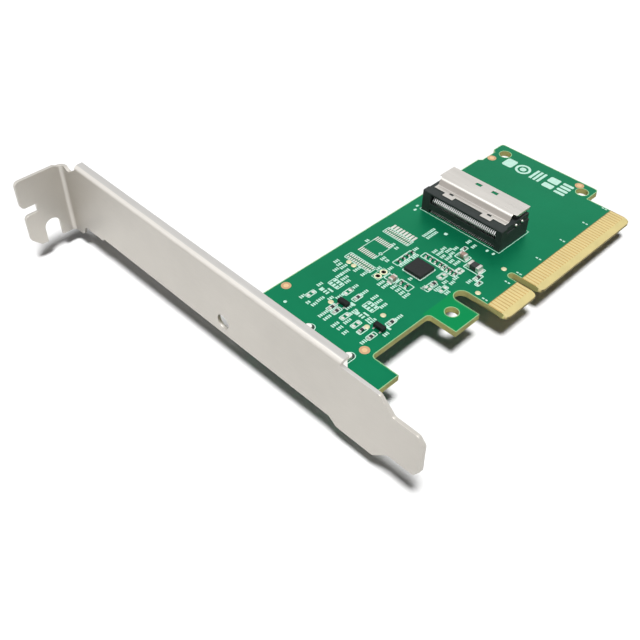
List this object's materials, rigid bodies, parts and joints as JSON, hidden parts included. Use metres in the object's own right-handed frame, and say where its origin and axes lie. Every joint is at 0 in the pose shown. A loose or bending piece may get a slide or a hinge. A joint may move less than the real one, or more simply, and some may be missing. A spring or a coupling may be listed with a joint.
{
  "type": "adapter card",
  "caption": "Flat adapter card with a gold card edge and key notch, a right-angle cable receptacle in a stamped shell, surface-mount parts and a folded full-height bracket.",
  "frame": {"origin": "middle of the key notch, at the leading edge of the tongues, on the component face of the board", "axes": "+X along the card away from the bracket, +Y up the card from that edge, +Z out of the component face"},
  "size_m": [0.1164, 0.12, 0.0223],
  "materials": {
    "bracket_steel": "satin zinc plate",
    "lug_steel": "satin zinc plate",
    "screw_steel": "zinc plate",
    "solder_mask": "satin green solder mask",
    "contact_gold": "hard gold",
    "black_moulding": "fine matt",
    "shell_steel": "satin",
    "tinned_strip": "tinned",
    "chip_resin": "fine matt",
    "solder": "tinned",
    "tan_ceramic": "matt",
    "brown_ceramic": "matt",
    "dark_ceramic": "satin"
  },
  "bodies": {
    "root": {"bracket": "bracket_steel", "mounting_lugs": "lug_steel", "bracket_screws": "screw_steel", "circuit_board": "solder_mask", "edge_contacts_component_side": "contact_gold", "edge_contacts_solder_side": "contact_gold", "connector_housing": "black_moulding", "connector_shell": "shell_steel", "connector_upper_contacts": "tinned_strip", "connector_lower_contacts": "tinned_strip", "controller_ic": "chip_resin", "controller_ic_pads": "solder", "capacitor_bodies": "tan_ceramic", "capacitor_end_caps": "solder", "inductor_body": "dark_ceramic", "inductor_end_caps": "solder", "resistor_bodies": "dark_ceramic", "resistor_end_caps": "solder", "small_capacitor_bodies": "brown_ceramic", "small_capacitor_end_caps": "solder", "transistor_bodies": "chip_resin", "transistor_leads": "solder", "bare_solder_pads": "solder"}
  },
  "joints": []
}
